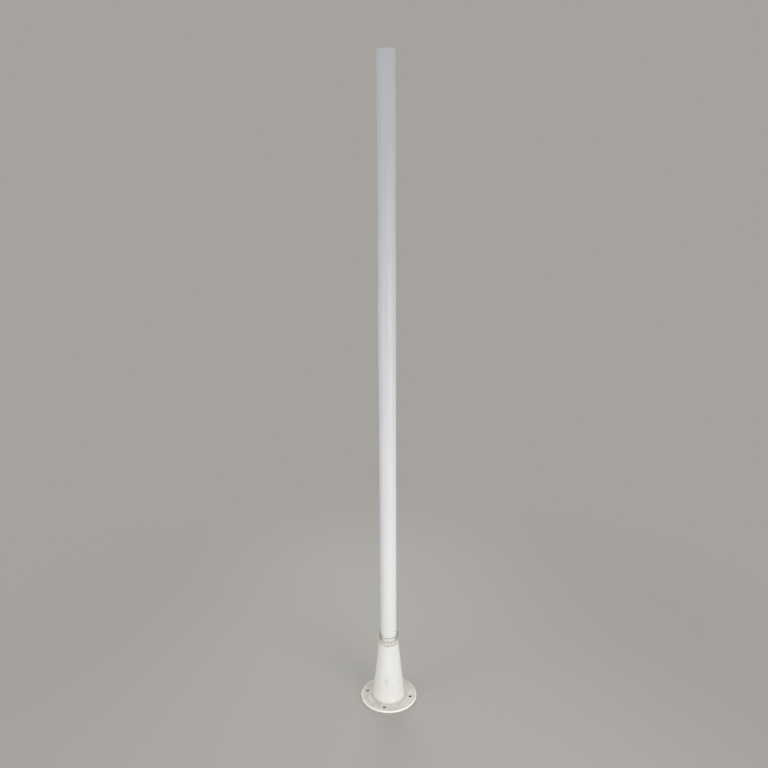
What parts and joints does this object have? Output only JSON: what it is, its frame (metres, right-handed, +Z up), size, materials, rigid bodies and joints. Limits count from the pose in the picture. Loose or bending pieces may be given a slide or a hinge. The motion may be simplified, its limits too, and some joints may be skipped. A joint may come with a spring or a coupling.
{
  "type": "lamp post",
  "caption": "White tubular lamp post with a tapered steel foot on a round bolted flange, its top open for a lantern.",
  "frame": {"origin": "centre of the flange's underside, on the ground", "axes": "+Z up along the tube; the four bolt holes lie on the X and Y axes"},
  "size_m": [0.172, 0.172, 1.88],
  "materials": {
    "tube_paint": "satin",
    "foot_paint": "satin",
    "ring_paint": "matte",
    "sealant": "matte",
    "bare_weld": "matte"
  },
  "bodies": {
    "root": {"flange_plate": "foot_paint", "foot_cone": "foot_paint", "cone_weld": "foot_paint", "neck_ring": "ring_paint", "sealant_bead": "sealant", "tube_weld": "bare_weld", "pole_tube": "tube_paint"}
  },
  "joints": []
}
